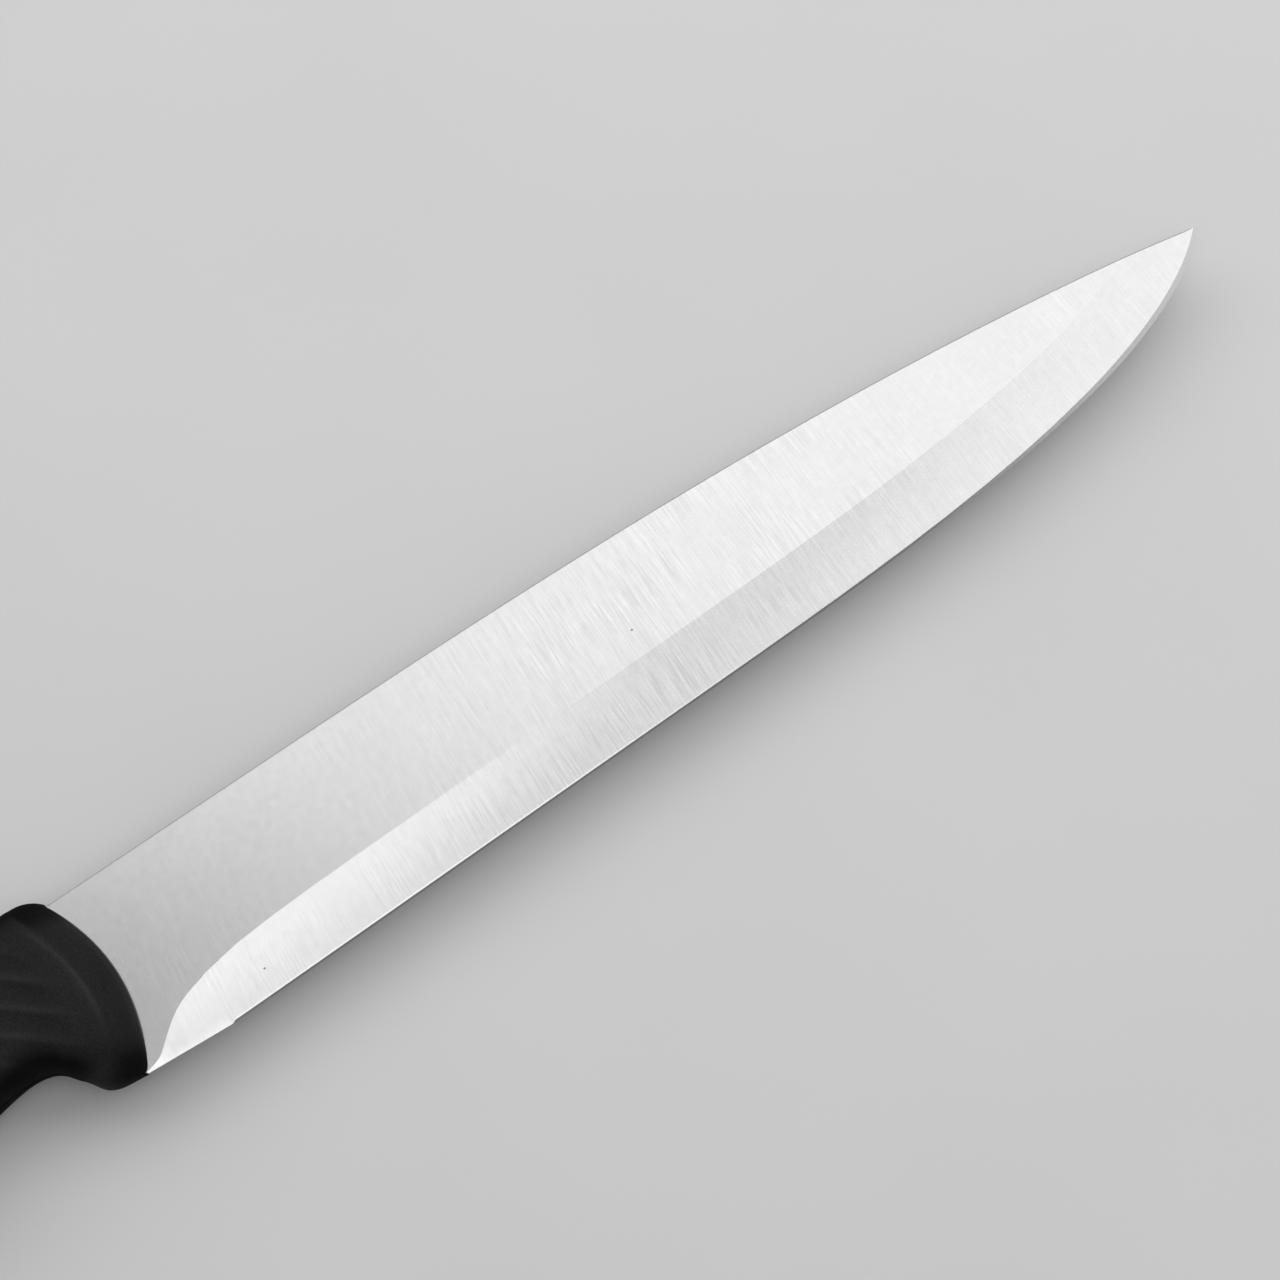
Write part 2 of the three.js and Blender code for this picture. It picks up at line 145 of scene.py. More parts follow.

# Blade, in millimetres from the heel corner
HEEL_DROP = 0.9
HEEL_LENGTH = 14
HEEL_STEP = 0.2
BLUNT_ROUND = 0.04
HEEL_GRIND = [  # upper line of the bevel, as it runs out at the heel
    (0, 0.3), (0.7, 0.46), (1.6, 0.69), (2.6, 1.06), (3.6, 1.78),
    (4.6, 2.63), (5.7, 3.58), (7.8, 5.1), (10.3, 6.3), (HEEL_LENGTH, 7.3),
]
HEEL_SLOPE = math.tan(math.radians(8.5))
HEEL_TURN = (1.6, 4.6)
BEVEL_HOLLOW = 0.075
BEVEL_HEIGHT = 9.8
TIP_BAND = 0.6  # share of the last section's length at which the sharpened band reaches the spine
TIP_THIN = 0.5  # share of the thickness that is left at the point
TIP_GAP = 0.02  # between the rows of points that run together there
EDGE_LINE = 0.22  # bright line above the sharpened edge
EDGE_LINE_SLOPE = math.tan(math.radians(7))
EDGE_LINE_END = (110, 150)
EDGE_LINE_BEVEL = 0.25  # share of the bevel's height below which the line grows narrower
TANG_FOOT = 0.1  # share of the tang's side below its first row of points

# Brushed steel, with its lines from the spine to the edge, in millimetres
BRUSH_LEAN = math.tan(math.radians(7))  # how far the lines lean towards the tip, at the heel
BRUSH_FAN = math.tan(math.radians(12))  # how much less they lean at the tip
FINE_LINE = (0.3, 7, 1)
FINE_DETAIL = 1.5
BROAD_LINE = (1.1, 14, 1)
BROAD_DETAIL = 2
BROAD_SHARE = 0.2  # strength of the broad lines beside the fine ones
PATCH_SIZE = (12, 8, 8)
PATCH_DETAIL = 1
PATCH_SHARE = 0.4  # strength of the lines where they are faintest
LINE_RISE = (35, 85)  # where the lines grow stronger, in front of the heel corner
LINE_FALL = (105, 150)  # where they grow weaker again
SHADES = [(1.3, 3, 0.02), (10, 2, 0.012), (0.4, 2, 0.008)]  # soft shades: size, detail, strength
PIT_GAP = 34
PIT_SIZE = 0.2
PIT_SHADE = 0.8
STEEL_SWING = 0.05  # share by which the roughness changes with the lines
STEEL_BUMP = 0.03
STEEL_BUMP_DEPTH = 0.02
STEEL_STRETCH = 0.6  # how far reflections are drawn out across the lines

# Each steel surface: its tone, roughness and strength of lines, and the lines' share at heel and tip
STEELS = {
    "flat_steel": (0.563, 0.25, 0.12, 0.17, 0.35),
    "bevel_steel": (0.563, 0.25, 0.105, 0.7, 0.55),
    "edge_steel": (0.445, 0.35, 0.04, 1, 1),
    "pin_steel": (0.5, 0.4, 0.03, 1, 1),
}

# Black plastic, with sizes in millimetres
GRAIN_SIZE = 0.25
GRAIN_DETAIL = 3
GRAIN_TONE = (0.0095, 0.0208)
CLOUD_SIZE = 6
CLOUD_TONE = 0.0015
# Tone added by the painted highlight along the crease and by the worn lip
CREASE_LIGHT_AND_WEAR_TONE = 0.009
# Tone added by the painted highlight beside the flutes' ridges
FLUTE_HIGHLIGHT_TONE = 0.0075
ROUND_SHADE_TONE = 0.2  # share of the tone that is left under the painted shade on a rounding
SIDE_ROUGHNESS = 0.55
RIM_ROUGHNESS = 0.5
ROUND_ROUGHNESS = 0.4  # added on a rounding
CREASE_LIGHT_AND_WEAR_GLOSS = 0.18  # taken off along the painted crease highlight and the worn lip
SIDE_BUMP = 0.5
RIM_BUMP = 0.03
PLASTIC_BUMP_DEPTH = 0.1
PLASTIC_SHEEN = 0.09

# Floor
FLOOR_SIZE = 6  # metres
FLOOR_CLOUD = 60  # millimetres
FLOOR_TONE = (0.71, 0.73)
FLOOR_ROUGHNESS = 0.9
FLOOR_SHEEN = 0.1

# Light from all round
ZENITH_LEVEL = 0.2
HORIZON_LEVEL = 0.47

# Soft boxes, in millimetres, turned as the camera is: right of and beyond the heel, size, brightness
BOX_HEIGHT = 700
SOFT_BOXES = {
    "near_box": ((155, -60), (500, 330), 1.8),
    "far_box": ((200, 490), (3000, 650), 1.42),
}

# Camera, from the heel corner, in millimetres and degrees
CAMERA_PLACE = Vector((16.45, -98.11, 503.46)) * MM
CAMERA_TILT = 15
CAMERA_TURN = -34.9
CAMERA_LENS = 100
CAMERA_SENSOR = 36

# Fineness
STATION = 0.4  # distance between sections of the handle, in millimetres
LIP_STEPS = 8
RIM_STEPS = 12
CREASE_STEPS = 10
BUTT_STEPS = 24
SECTION_STEPS = 401  # steps of the curve on which the points of a section are placed
COLUMNS = 140  # points of a section
END_SHARE = 0.6  # how much closer a section's points stand at its two ends
BEVEL_ROWS = 6
SPLINE_STEPS = 60
HANDLE_EDGE = 35  # degrees of turn from which an edge of the handle is shaded as sharp
BLADE_EDGE = 2.5  # and of the blade
NOISE_LOW = 0.3  # range that holds most of a noise
NOISE_HIGH = 0.7
SAME_PLACE = 0.1  # sections closer than this, in millimetres, are one

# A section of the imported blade: points up one side, and the digits that tell its places apart
SIDE_POINTS = 5
SECTION_DIGITS = 5
POINT_DIGITS = 6

# Places of the blade's materials in its list
FLAT, BEVEL, EDGE = range(3)

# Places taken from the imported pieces
blade_low, blade_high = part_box("blade")
half_low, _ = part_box("handle_right")
middle_z = (blade_low.z + blade_high.z) / 2
heel = Vector((
    half_low.x + (HANDLE_BACK - BUTT_ROUND * BUTT_FLAT) * MM,
    blade_low.y + HEEL_DROP * MM,
    middle_z,
))
spine_height = (blade_high.y - heel.y) / MM


# Small helpers

def smoothstep(value, start, end):
    share = np.clip((value - start) / (end - start), 0, 1)
    return share * share * (3 - 2 * share)


def arch(t):
    """A curve that is 0 at both ends of 0 to 1, and 1 in the middle."""
    return 4 * t * (1 - t)


def bell(distance, width):
    """A curve that is 1 at no distance and fades out over about the width."""
    return np.exp(-(distance / width) ** 2)


def lower_of(a, b, blend):
    """The lower of two heights, with the crossing rounded over the blend."""
    share = np.clip(0.5 + 0.5 * (b - a) / blend, 0, 1)
    return b + (a - b) * share - blend * share * (1 - share)


def spline(knots, at):
    """Heights at some distances on a centripetal Catmull-Rom curve through the knots."""
    points = np.array(knots, float)
    points = np.vstack([2 * points[0] - points[1], points, 2 * points[-1] - points[-2]])
    gaps = np.linalg.norm(np.diff(points, axis=0), axis=1) ** 0.5
    t = np.linspace(0, 1, SPLINE_STEPS)[:, None]
    spans = []
    for i in range(len(knots) - 1):
        before, start, end, after = points[i:i + 4]
        gap_before, gap, gap_after = gaps[i:i + 3]
        step = (end - start) / gap
        leave = gap * ((start - before) / gap_before - (end - before) / (gap_before + gap) + step)
        arrive = gap * (step - (after - start) / (gap + gap_after) + (after - end) / gap_after)
        bend = t * (1 - t) * ((1 - t) * leave - t * arrive)
        spans.append(start + (end - start) * smoothstep(t, 0, 1) + bend)
    curve = np.vstack(spans)
    return np.interp(at, curve[:, 0], curve[:, 1])


def rounded(before, corner, after, reach, steps):
    """Points of a rounded corner between two straight stretches of a profile."""
    before, corner, after = (np.array(point, float) for point in (before, corner, after))
    start = corner + (before - corner) * reach / np.linalg.norm(before - corner)
    end = corner + (after - corner) * reach / np.linalg.norm(after - corner)
    t = np.linspace(0, 1, steps)[:, None]
    return (1 - t) ** 2 * start + 2 * t * (1 - t) * corner + t ** 2 * end


def add_object(name, data):
    piece = bpy.data.objects.new(name, data)
    bpy.context.scene.collection.objects.link(piece)
    return piece


def loft(name, rings):
    """A closed piece through rings of points, one after the other, with its two ends as the last faces."""
    rows, columns = rings.shape[:2]
    index = np.arange(rows * columns).reshape(rows, columns)
    near, far = index[:-1], index[1:]
    quads = np.stack([near, far, np.roll(far, -1, 1), np.roll(near, -1, 1)], axis=-1)
    faces = quads.reshape(-1, 4).tolist() + [index[0].tolist(), index[-1].tolist()]
    mesh = bpy.data.meshes.new(name)
    mesh.from_pydata(rings.reshape(-1, 3).tolist(), [], faces)
    work = bmesh.new()
    work.from_mesh(mesh)
    bmesh.ops.recalc_face_normals(work, faces=work.faces)
    work.to_mesh(mesh)
    work.free()
    return add_object(name, mesh)


def cut_away(piece, cutters):
    """Takes the room of the cutters out of a piece, and the spare points that this leaves on its seams."""
    for cutter in cutters:
        cut = piece.modifiers.new("seat", "BOOLEAN")
        cut.object = cutter
        cut.solver = "EXACT"
    shaped = piece.evaluated_get(bpy.context.evaluated_depsgraph_get())
    mesh = bpy.data.meshes.new_from_object(shaped)
    work = bmesh.new()
    work.from_mesh(mesh)
    spare = [point for point in work.verts if len(point.link_edges) == 2]
    bmesh.ops.dissolve_verts(work, verts=spare)
    work.to_mesh(mesh)
    work.free()
    piece.modifiers.clear()
    piece.data = mesh


def mark(piece, name, values):
    """Keeps one number for each point of a piece, for its material to read."""
    attribute = piece.data.attributes.new(name, "FLOAT", "POINT")
    attribute.data.foreach_set("value", values.astype(np.float32))


def smooth(piece, angle):
    """Shades a piece as curved, with an edge wherever it turns by more than the angle, in degrees."""
    piece.data.shade_smooth()
    piece.data.set_sharp_from_angle(angle=math.radians(angle))


def set_piece(piece, node):
    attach(piece, "root")
    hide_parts(node)


# Blade

def blade_sections():
    """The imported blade's sections from the tang to the tip: x, and the points up the right side."""
    sections = {}
    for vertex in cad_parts["blade"].data.vertices:
        x, y, z = vertex.co
        if z > middle_z:
            point = (round(y, POINT_DIGITS), round(z, POINT_DIGITS))
            sections.setdefault(round(x, SECTION_DIGITS), set()).add(point)
    return [(x, sorted(sections[x])) for x in sorted(sections) if len(sections[x]) == SIDE_POINTS]


def heel_sections(next_side):
    """Closer sections of the blunt heel, where the bevel runs out in a curl to the heel corner."""
    (edge_y, _), (shoulder_y, shoulder_z), (grind_y, grind_z), *upper = next_side
    slope = (grind_z - shoulder_z) / (grind_y - shoulder_y)
    thick = (grind_z - middle_z) / MM
    sections = []
    for x in np.arange(0, HEEL_LENGTH, HEEL_STEP):
        edge = (edge_y - heel.y) / MM * x / HEEL_LENGTH
        grind = spline(HEEL_GRIND, x)
        steep = HEEL_SLOPE + (slope - HEEL_SLOPE) * smoothstep(x, *HEEL_TURN)
        rows = [(y, thick - (grind - y) * steep) for y in (edge, edge + BLUNT_ROUND, grind)]
        side = [(heel.y + y * MM, middle_z + z * MM) for y, z in rows] + upper
        sections.append((heel.x + x * MM, side))
    return sections


def tip_sections(before, last):
    """Where the sharpened band reaches the spine, and the thinned end of the point."""
    sections = []
    for share, thin in ((TIP_BAND, 1), (1, TIP_THIN)):
        x = before[0] + (last[0] - before[0]) * share
        side = np.array(before[1]) + (np.array(last[1]) - np.array(before[1])) * share
        side[1:, 0] = side[-1, 0] - TIP_GAP * MM * np.arange(SIDE_POINTS - 2, -1, -1)
        side[:, 1] = middle_z + (side[:, 1] - middle_z) * thin
        sections.append((x, side))
    return sections


def all_sections():
    packed = blade_sections()
    tang = [section for section in packed if section[0] < heel.x - SAME_PLACE * MM]
    rest = [section for section in packed if section[0] > heel.x + (HEEL_LENGTH + SAME_PLACE) * MM]
    return tang + heel_sections(rest[0][1]) + rest[:-1] + tip_sections(*rest[-2:])


def blade_ring(x, side):
    """One section with a hollow ground bevel, up its right side and down its left."""
    edge, shoulder, grind, corner, spine = (np.array(point) for point in side)
    width = (grind[0] - shoulder[0]) / (BEVEL_HEIGHT * MM)
    hollow = BEVEL_HOLLOW * MM * (width ** 2 if x > heel.x else 0)
    fade = 1 - smoothstep((x - heel.x) / MM, *EDGE_LINE_END)
    line = EDGE_LINE * MM * min(width / EDGE_LINE_BEVEL, fade) * np.array((1, EDGE_LINE_SLOPE))
    foot = shoulder + (line if x > heel.x else TANG_FOOT * (grind - shoulder))
    t = np.linspace(0, 1, BEVEL_ROWS)[:-1, None]
    bevel = foot + (grind - foot) * t
    bevel[:, 1] -= hollow * arch(t)[:, 0]
    right = np.vstack([edge, shoulder, bevel, grind, corner, spine])
    left = right[::-1] * (1, -1) + (0, 2 * middle_z)
    ring = np.vstack([right, left])
    return np.column_stack([np.full(len(ring), x), ring])


def blade_zone(column, columns):
    """Which finish lies between a point of a section and the next, counted from the edge."""
    place = min(column, columns - 2 - column)
    if place <= 0:
        return EDGE
    return BEVEL if place <= BEVEL_ROWS else FLAT


def make_blade(materials):
    rings = np.array([blade_ring(x, side) for x, side in all_sections()])
    columns = rings.shape[1]
    blade = loft("knife_blade", rings)
    for material in materials:
        blade.data.materials.append(material)
    for face in blade.data.polygons[:-2]:
        face.material_index = blade_zone(face.index % columns, columns)
    set_piece(blade, "blade")
    return blade


# Handle

def top_height(back):
    corner = np.clip(1 - back / CORNER_RUN, 0, None)
    return TOP_HEIGHT - TOP_FALL * (back / HANDLE_BACK) ** TOP_POWER - CORNER_DROP * corner ** 2


def bow(back, y):
    """How far the surface stands in front of its station, so that the front edge is an arc."""
    half = spine_height / 2
    arc = np.clip(1 - ((y - half) / half) ** 2, 0, None)
    bulge = LIP_BULGE * arc * (1 - smoothstep(back, RIM_LENGTH, BOW_END))
    return bulge + LIP_LEAN * y / spine_height * (1 - smoothstep(back, 0, RIM_LENGTH))


def butt_share(back):
    """How much of its full size a section has, over the rounded butt."""
    into = np.clip(back - (HANDLE_BACK - BUTT_ROUND), 0, None) / BUTT_ROUND
    return (1 - into ** BUTT_POWER) ** (1 / BUTT_POWER)


def handle_stations():
    """Distances back and half thicknesses, over the rounded lip, the rim, the crease and the side."""
    lip, crease = (0, LIP_HALF), (RIM_LENGTH, RIM_HALF)
    behind = (RIM_LENGTH + CREASE_ROUND, spline(SIDE, RIM_LENGTH + CREASE_ROUND))
    front = rounded((0, LIP_FOOT), lip, crease, LIP_ROUND, LIP_STEPS)
    ridge = rounded(lip, crease, behind, CREASE_ROUND, CREASE_STEPS)
    t = np.linspace(0, 1, RIM_STEPS)[1:-1, None]
    slant = ridge[0] - front[-1]
    outward = np.array((-slant[1], slant[0])) / np.linalg.norm(slant)
    rim = front[-1] + slant * t + outward * RIM_BULGE * arch(t)
    butt_start = HANDLE_BACK - BUTT_ROUND
    backs = np.arange(behind[0] + STATION, butt_start, STATION)
    turns = np.linspace(0, math.asin(1 - BUTT_FLAT), BUTT_STEPS)
    backs = np.concatenate([backs, butt_start + BUTT_ROUND * np.sin(turns)])
    side = np.column_stack([backs, spline(SIDE, backs)])
    return np.vstack([[(0, LIP_FOOT)], front, rim, ridge, side])


def flute_share(back):
    """How deep the flutes are at a station, as a share of their full depth."""
    border = np.minimum(back - RIM_LENGTH, FLUTE_END - back)
    return smoothstep(border, FLUTE_RIM, FLUTE_RIM + FLUTE_FADE)


def flute_off(x, y):
    """How far a point lies above the middle line of its flute."""
    across = x * math.sin(FLUTE_TILT) + y * math.cos(FLUTE_TILT)
    number = np.clip(np.round((FLUTE_FIRST - across) / FLUTE_PITCH), 0, FLUTE_COUNT - 1)
    return across - FLUTE_FIRST + number * FLUTE_PITCH


def flute_floor(back, half, x, y):
    """The height to which the flutes are pressed in, over a point of the side."""
    radius = FLUTE_PITCH ** 2 / 8 / FLUTE_DEPTH + FLUTE_DEPTH / 2
    off = np.clip(flute_off(x, y), -radius, radius)
    sunk = (FLUTE_LIFT + FLUTE_SINK) * flute_share(back)
    return half + FLUTE_LIFT - sunk + radius - np.sqrt(radius ** 2 - off ** 2)


def section_profile(back, half):
    """Heights and thicknesses round a plain section, with its points closer together at both ends."""
    share = butt_share(back)
    low, high = spline(UNDERSIDE, back), top_height(back)
    turns = np.linspace(-math.pi / 2, math.pi / 2, SECTION_STEPS)
    low_round = GROOVE_ROUND + (PALM_ROUND - GROOVE_ROUND) * smoothstep(back, GROOVE_BACK, PALM_START)
    power = 2 / np.where(turns < 0, low_round, TOP_ROUND)
    rise = np.sign(turns) * np.abs(np.sin(turns)) ** power
    y = (low + high + share * rise * (high - low)) / 2
    z = share * half * np.clip(np.cos(turns), 0, None) ** power
    length = np.concatenate([[0], np.cumsum(np.hypot(np.diff(y), np.diff(z)))])
    place = np.linspace(0, 1, COLUMNS)
    place = (place - END_SHARE * np.sin(2 * math.pi * place) / (2 * math.pi)) * length[-1]
    return np.interp(place, length, y), np.interp(place, length, z)


def handle_ring(back, half):
    """One section of a half, from the parting line below to the one above, in millimetres."""
    y, z = section_profile(back, half)
    middle = (spline(UNDERSIDE, back) + top_height(back)) / 2
    x = bow(back, y) - back
    if back > RIM_LENGTH:
        z = lower_of(z, flute_floor(back, half, x, y), FLUTE_BLEND)
    bead = BEAD_HEIGHT * smoothstep(back, RIM_LENGTH, GROOVE_BACK) * butt_share(back)
    y += np.sign(y - middle) * bead * (1 - smoothstep(z, 0, BEAD_WIDTH))
    return np.column_stack([x, y, np.clip(z, 0, None) + PARTING_GAP / 2])


def mark_finish(half, stations, rings):
    """Marks where a half is smooth and where its lip is worn, and its painted light: highlights along the
    crease and beside the flutes' ridges, and shade on the roundings, left off at the guard's corner.
    """
    back, thick = np.repeat(stations, COLUMNS, axis=0).T
    along, up, out = rings.reshape(-1, 3).T
    # A painted highlight along the crease, fading in and out between two heights
    lightened = smoothstep(up, *CREASE_LIGHT_LOW) * (1 - smoothstep(up, *CREASE_LIGHT_HIGH))
    crease = bell(back - CREASE_LIGHT_BACK, CREASE_LIGHT_WIDTH) * lightened
    lip = 1 - smoothstep(back, 0, LIP_POLISH)
    # A painted highlight on the flank beside each ridge between two flutes
    above_ridge = flute_off(along, up) + FLUTE_PITCH / 2
    ridge = bell(above_ridge - FLUTE_HIGHLIGHT_PLACE, FLUTE_HIGHLIGHT_WIDTH) * flute_share(back)
    # A painted highlight at the guard's corner, where the painted shade is left off
    corner = bell(np.hypot(back - GUARD_LIGHT_BACK, up - GUARD_LIGHT_HEIGHT), GUARD_LIGHT_WIDTH)
    # Painted shade where a rounding turns away, and on the top of the rim
    on_rim = 1 - smoothstep(back, RIM_LENGTH - CREASE_ROUND, RIM_LENGTH)
    rounding_shade = np.maximum(1 - smoothstep(out / thick, *ROUND_SHADE_SHARE), on_rim * smoothstep(up, *RIM_TOP_SHADE))
    mark(half, "smooth", 1 - smoothstep(back, *GRAIN_BORDER))
    # Painted highlight along the crease, with real wear at the lip
    mark(half, "crease_light_and_wear", np.maximum(crease, lip))
    # Painted highlight beside the flutes' ridges
    mark(half, "flute_highlight", ridge)
    # Painted shade on the roundings, left off at the guard's corner as a painted highlight
    mark(half, "round", rounding_shade * (1 - corner))


def make_half(name, node, side, material, cutters):
    stations = handle_stations()
    rings = np.array([handle_ring(back, half) for back, half in stations])
    half = loft(name, rings * (MM, MM, side * MM) + np.array(heel))
    mark_finish(half, stations, rings)
    half.data.materials.append(material)
    cut_away(half, cutters)
    smooth(half, HANDLE_EDGE)
    set_piece(half, node)


# Materials

def new_material(name):
    material = bpy.data.materials.new(name)
    material.use_nodes = True
    return material, material.node_tree, material.node_tree.nodes["Principled BSDF"].inputs


def put(tree, kind, inputs=None, **settings):
    """A new node with its settings, and its inputs set to numbers or linked to outputs."""
    node = tree.nodes.new(kind)
    for key, value in settings.items():
        setattr(node, key, value)
    for key, value in (inputs or {}).items():
        if isinstance(value, bpy.types.NodeSocket):
            tree.links.new(value, node.inputs[key])
        else:
            node.inputs[key].default_value = value
    return node


def place_of(tree):
    return put(tree, "ShaderNodeTexCoord").outputs["Object"]


def split(tree, place):
    return put(tree, "ShaderNodeSeparateXYZ", {0: place}).outputs


def math_of(tree, operation, *values):
    """Values joined by one operation, from the first to the last."""
    result = values[0]
    for value in values[1:]:
        result = put(tree, "ShaderNodeMath", {0: result, 1: value}, operation=operation).outputs[0]
    return result


def spread(tree, value, low, high, start=NOISE_LOW, end=NOISE_HIGH):
    """A value mapped from one range to another."""
    settings = {"Value": value, "From Min": start, "From Max": end, "To Min": low, "To Max": high}
    return put(tree, "ShaderNodeMapRange", settings).outputs[0]


def scaled(tree, place, size):
    """A place measured in the given sizes along x, y and z, in millimetres."""
    scale = [1 / (MM * length) for length in size]
    return put(tree, "ShaderNodeMapping", {"Vector": place, "Scale": scale}).outputs[0]


def noise(tree, size, detail=2, place=None):
    """Soft noise whose features have the given sizes along x, y and z, in millimetres."""
    spot = scaled(tree, place or place_of(tree), size)
    return put(tree, "ShaderNodeTexNoise", {"Vector": spot, "Scale": 1, "Detail": detail}).outputs[0]


def even_noise(tree, size, detail=2):
    """Soft noise whose features have one size in every direction."""
    return noise(tree, (size, size, size), detail)


def swing(tree, value, reach):
    """A noise turned into a swing to both sides of 0."""
    return spread(tree, value, -reach, reach)


def mark_of(tree, name):
    """The number that a piece keeps for each of its points."""
    return put(tree, "ShaderNodeAttribute", attribute_name=name).outputs["Fac"]


def paint(tree, shader, level):
    """Gives a shader a grey of the given level."""
    tint = put(tree, "ShaderNodeCombineColor", {"Red": level, "Green": level, "Blue": level})
    tree.links.new(tint.outputs[0], shader["Base Color"])


def emboss(tree, shader, height, strength, depth):
    """Gives a shader a bump of the given depth, in millimetres."""
    bump = put(tree, "ShaderNodeBump", {"Height": height, "Strength": strength, "Distance": depth * MM})
    tree.links.new(bump.outputs[0], shader["Normal"])


def brush_place(tree):
    """Where a point lies across and along the brush lines, which lean by less towards the tip."""
    spot = split(tree, place_of(tree))
    slope = spread(tree, spot["X"], BRUSH_LEAN, BRUSH_LEAN - BRUSH_FAN, heel.x, blade_high.x)
    across = math_of(tree, "SUBTRACT", spot["X"], math_of(tree, "MULTIPLY", spot["Y"], slope))
    return put(tree, "ShaderNodeCombineXYZ", {"X": across, "Y": spot["Y"]}).outputs[0]


def line_share(tree, heel_share, tip_share):
    """How strong the brush lines are along the blade, with patches where they are fainter."""
    along = split(tree, place_of(tree))["X"]
    rise_start, rise_end = (heel.x + x * MM for x in LINE_RISE)
    fall_start, fall_end = (heel.x + x * MM for x in LINE_FALL)
    rise = spread(tree, along, heel_share, 1, rise_start, rise_end)
    fall = spread(tree, along, 1, tip_share, fall_start, fall_end)
    patch = spread(tree, noise(tree, PATCH_SIZE, PATCH_DETAIL), PATCH_SHARE, 1)
    return math_of(tree, "MULTIPLY", rise, fall, patch)


def pits(tree):
    """1 in a few tiny pits, spread far apart, and 0 elsewhere."""
    spot = scaled(tree, place_of(tree), [PIT_GAP] * 3)
    cells = put(tree, "ShaderNodeTexVoronoi", {"Vector": spot, "Scale": 1}, voronoi_dimensions="2D")
    size = PIT_SIZE / PIT_GAP
    return spread(tree, cells.outputs["Distance"], 1, 0, size / 2, size)


def brushed_steel(name, tone, roughness, lines, heel_share, tip_share):
    """Steel brushed from the spine to the edge, with fine and broad lines, soft shades and tiny pits."""
    material, tree, shader = new_material(name)
    place = brush_place(tree)
    fine = noise(tree, FINE_LINE, FINE_DETAIL, place)
    broad = noise(tree, BROAD_LINE, BROAD_DETAIL, place)
    both = math_of(tree, "ADD", swing(tree, fine, lines), swing(tree, broad, lines * BROAD_SHARE))
    streak = math_of(tree, "MULTIPLY", both, line_share(tree, heel_share, tip_share))
    shades = [swing(tree, even_noise(tree, size, detail), reach) for size, detail, reach in SHADES]
    plain = math_of(tree, "ADD", streak, *shades, 1)
    pitted = math_of(tree, "SUBTRACT", plain, math_of(tree, "MULTIPLY", pits(tree), PIT_SHADE))
    paint(tree, shader, math_of(tree, "MULTIPLY", pitted, tone))
    gloss = spread(tree, fine, roughness * (1 - STEEL_SWING), roughness * (1 + STEEL_SWING))
    tree.links.new(gloss, shader["Roughness"])
    emboss(tree, shader, fine, STEEL_BUMP, STEEL_BUMP_DEPTH)
    tangent = put(tree, "ShaderNodeCombineXYZ", {"X": 1})
    tree.links.new(tangent.outputs[0], shader["Tangent"])
    shader["Metallic"].default_value = 1
    shader["Anisotropic"].default_value = STEEL_STRETCH
    return material


def black_plastic():
    """Black moulded plastic: matte grain on the sides, satin at the rim, lighter at the worn lip, with
    painted highlights along the crease and beside the flutes' ridges and painted shade on the roundings.
    """
    material, tree, shader = new_material("black_plastic")
    satin, crease_light_and_wear, flute_highlight, rounding_shade = (mark_of(tree, name) for name in ("smooth", "crease_light_and_wear", "flute_highlight", "round"))
    grain = even_noise(tree, GRAIN_SIZE, GRAIN_DETAIL)
    cloud = swing(tree, even_noise(tree, CLOUD_SIZE), CLOUD_TONE)
    # Painted highlights along the crease and beside the flutes' ridges, and the worn lip, lighten the tone
    lightened = math_of(tree, "MULTIPLY", crease_light_and_wear, CREASE_LIGHT_AND_WEAR_TONE)
    ridge_lightening = math_of(tree, "MULTIPLY", flute_highlight, FLUTE_HIGHLIGHT_TONE)
    tone = math_of(tree, "ADD", spread(tree, grain, *GRAIN_TONE), cloud, lightened, ridge_lightening)
    # Painted shade darkens the roundings
    kept = spread(tree, rounding_shade, 1, ROUND_SHADE_TONE, 0, 1)
    paint(tree, shader, math_of(tree, "MULTIPLY", tone, kept))
    matte = spread(tree, satin, SIDE_ROUGHNESS, RIM_ROUGHNESS, 0, 1)
    duller = math_of(tree, "ADD", matte, math_of(tree, "MULTIPLY", rounding_shade, ROUND_ROUGHNESS))
    gloss = math_of(tree, "SUBTRACT", duller, math_of(tree, "MULTIPLY", crease_light_and_wear, CREASE_LIGHT_AND_WEAR_GLOSS))
    tree.links.new(gloss, shader["Roughness"])
    strength = spread(tree, satin, SIDE_BUMP, RIM_BUMP, 0, 1)
    emboss(tree, shader, grain, strength, PLASTIC_BUMP_DEPTH)
    shader["Specular IOR Level"].default_value = PLASTIC_SHEEN
    return material


def pale_floor():
    material, tree, shader = new_material("pale_floor")
    paint(tree, shader, spread(tree, even_noise(tree, FLOOR_CLOUD), *FLOOR_TONE))
    shader["Roughness"].default_value = FLOOR_ROUGHNESS
    shader["Specular IOR Level"].default_value = FLOOR_SHEEN
    return material


# Studio

def make_floor():
    mesh = bpy.data.meshes.new("floor")
    reach = FLOOR_SIZE / 2
    corners = [(-reach, -reach, 0), (reach, -reach, 0), (reach, reach, 0), (-reach, reach, 0)]
    mesh.from_pydata(corners, [], [(0, 1, 2, 3)])
    mesh.materials.append(pale_floor())
    add_object("floor", mesh)


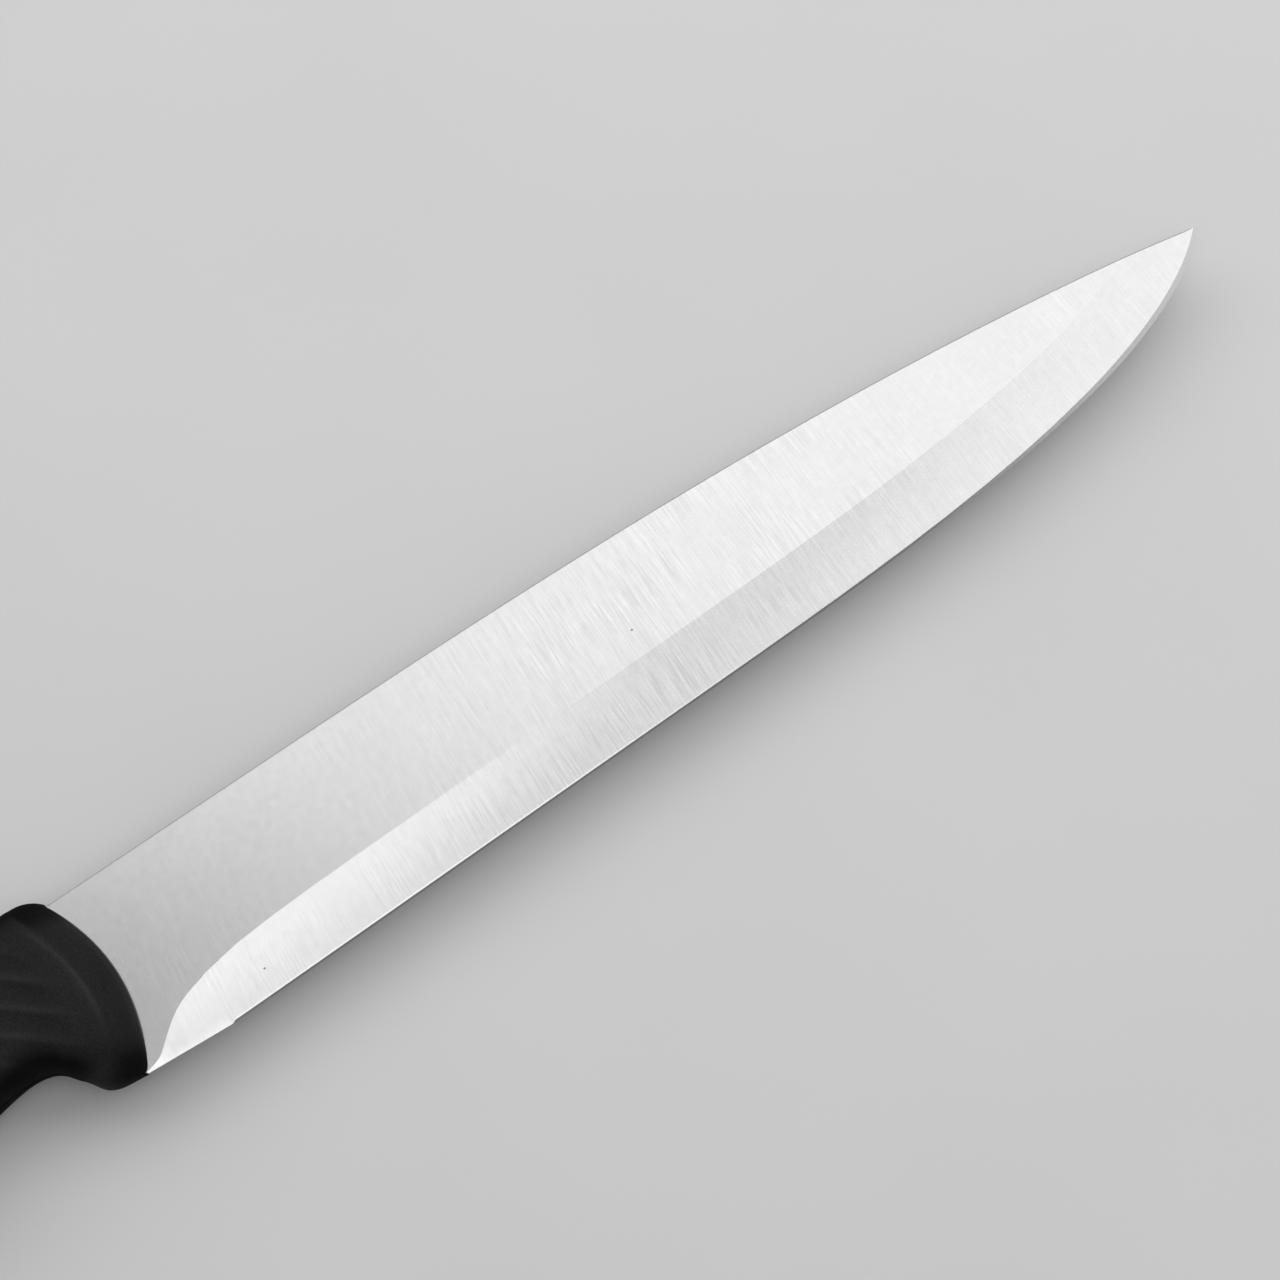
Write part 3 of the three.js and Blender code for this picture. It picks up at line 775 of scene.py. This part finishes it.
def make_world():
    """Soft light all round, brighter near the horizon than overhead."""
    world = bpy.data.worlds.new("studio")
    bpy.context.scene.world = world
    world.use_nodes = True
    tree = world.node_tree
    height = split(tree, put(tree, "ShaderNodeTexCoord").outputs["Generated"])["Z"]
    background = tree.nodes["Background"].inputs
    tree.links.new(spread(tree, height, HORIZON_LEVEL, ZENITH_LEVEL, 0, 1), background["Strength"])
    background["Color"].default_value = (1, 1, 1, 1)


def make_soft_boxes():
    turn = math.radians(CAMERA_TURN)
    right = Vector((math.cos(turn), math.sin(turn), 0))
    beyond = Vector((-math.sin(turn), math.cos(turn), 0))
    up = Vector((0, 0, BOX_HEIGHT))
    for name, ((across, along), (length, width), brightness) in SOFT_BOXES.items():
        light = bpy.data.lights.new(name, "AREA")
        light.shape = "RECTANGLE"
        light.size, light.size_y = length * MM, width * MM
        light.energy = brightness * math.pi * light.size * light.size_y
        lamp = add_object(name, light)
        lamp.location = heel + (right * across + beyond * along + up) * MM
        lamp.rotation_euler.z = turn
        lamp.visible_camera = False


def make_camera():
    data = bpy.data.cameras.new("camera")
    data.lens = CAMERA_LENS
    data.sensor_width = CAMERA_SENSOR
    camera = add_object("camera", data)
    camera.location = heel + CAMERA_PLACE
    camera.rotation_euler = (math.radians(CAMERA_TILT), 0, math.radians(CAMERA_TURN))
    bpy.context.scene.camera = camera


# Assembly

steel = {name: brushed_steel(name, *finish) for name, finish in STEELS.items()}
plastic = black_plastic()
pins = [node for name, node in sorted(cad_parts.items()) if name.startswith("tang_pin")]
for pin in pins:
    pin.data.materials.clear()
    pin.data.materials.append(steel["pin_steel"])
blade = make_blade([steel["flat_steel"], steel["bevel_steel"], steel["edge_steel"]])
make_half("handle_half_right", "handle_right", 1, plastic, [blade, *pins])
make_half("handle_half_left", "handle_left", -1, plastic, [blade, *pins])
cut_away(blade, pins)
smooth(blade, BLADE_EDGE)
make_floor()
make_world()
make_soft_boxes()
make_camera()
bpy.context.scene.view_settings.view_transform = "Standard"
